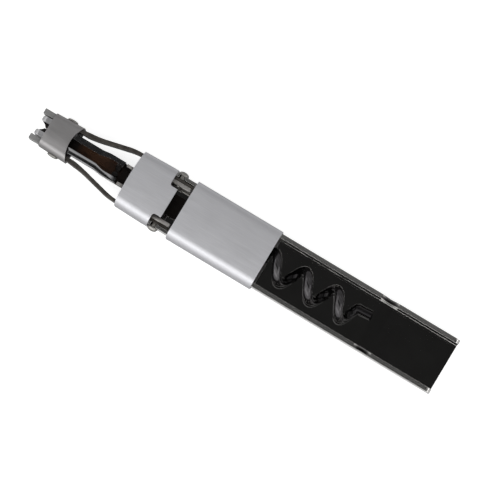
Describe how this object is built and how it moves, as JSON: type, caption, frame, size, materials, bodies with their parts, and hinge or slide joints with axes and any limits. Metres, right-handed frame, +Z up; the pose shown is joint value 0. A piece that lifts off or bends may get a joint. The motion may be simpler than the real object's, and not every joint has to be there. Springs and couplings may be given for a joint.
{
  "type": "spring-loaded watch hand lifter",
  "caption": "Slim four-pronged watch tool: a sprung sleeve slides back along an open channel handle and draws two clawed jaws between two fixed feet.",
  "frame": {"origin": "centre of the tool's bounding box at the bottom, on the surface it lies on", "axes": "+X from the foot tips to the open rear end, +Y to the user's right when looking from the rear end to the tips, +Z up out of the open channel"},
  "size_m": [0.09, 0.013, 0.0078],
  "materials": {
    "satin_sleeve": "satin brushed nickel",
    "satin_collar": "satin steel, a little darker",
    "plain_steel": "plain rolled steel",
    "polished_channel": "mirror nickel plate",
    "jaw_steel": "bright nickel plate",
    "dark_spring_steel": "dark tempered spring steel",
    "temper_tint_steel": "brown heat-tinted steel",
    "black_hard_steel": "black hardened steel",
    "spring_wire": "oiled black spring wire",
    "rivet_steel": "dull domed rivets",
    "foot_grey": "smooth matte grey",
    "black_block": "plain black"
  },
  "bodies": {
    "handle": {"channel_body": "polished_channel", "front_ferrule": "satin_sleeve", "tip_collar": "satin_collar", "drawbar_guide": "black_block", "left_arm": "dark_spring_steel", "right_arm": "dark_spring_steel", "left_backing_plate": "plain_steel", "right_backing_plate": "plain_steel", "left_body_rivet": "rivet_steel", "right_body_rivet": "rivet_steel", "left_collar_rivet": "rivet_steel", "right_collar_rivet": "rivet_steel", "left_foot_pad": "foot_grey", "right_foot_pad": "foot_grey", "return_spring": "spring_wire"},
    "slider": {"slide_sleeve": "satin_sleeve", "slide_block": "black_block", "jaw_carrier": "temper_tint_steel", "carrier_pin": "rivet_steel", "front_drive_pin": "rivet_steel", "rear_drive_pin": "rivet_steel", "left_pivot_pin": "black_hard_steel", "right_pivot_pin": "black_hard_steel"},
    "left_jaw_body": {"left_jaw": "jaw_steel", "left_claw": "black_hard_steel"},
    "right_jaw_body": {"right_jaw": "jaw_steel", "right_claw": "black_hard_steel"}
  },
  "joints": [
    {"name": "sleeve_slide", "type": "slide", "parent": "handle", "child": "slider", "axis": [1, 0, 0], "range_m": [0, 0.0045], "stiffness_N_per_m": 300, "springref_m": -0.01, "deforming": ["return_spring"]},
    {"name": "left_jaw_pivot", "type": "hinge", "parent": "slider", "child": "left_jaw_body", "pos_m": [-0.0275, -0.00066, 0.00288], "axis": [0, 0, 1], "range_deg": [0, 0.5], "stiffness_Nm_per_rad": 0.01, "springref_deg": -11.46},
    {"name": "right_jaw_pivot", "type": "hinge", "parent": "slider", "child": "right_jaw_body", "pos_m": [-0.0275, 0.00066, 0.00288], "axis": [0, 0, -1], "range_deg": [0, 0.5], "stiffness_Nm_per_rad": 0.01, "springref_deg": -11.46}
  ]
}
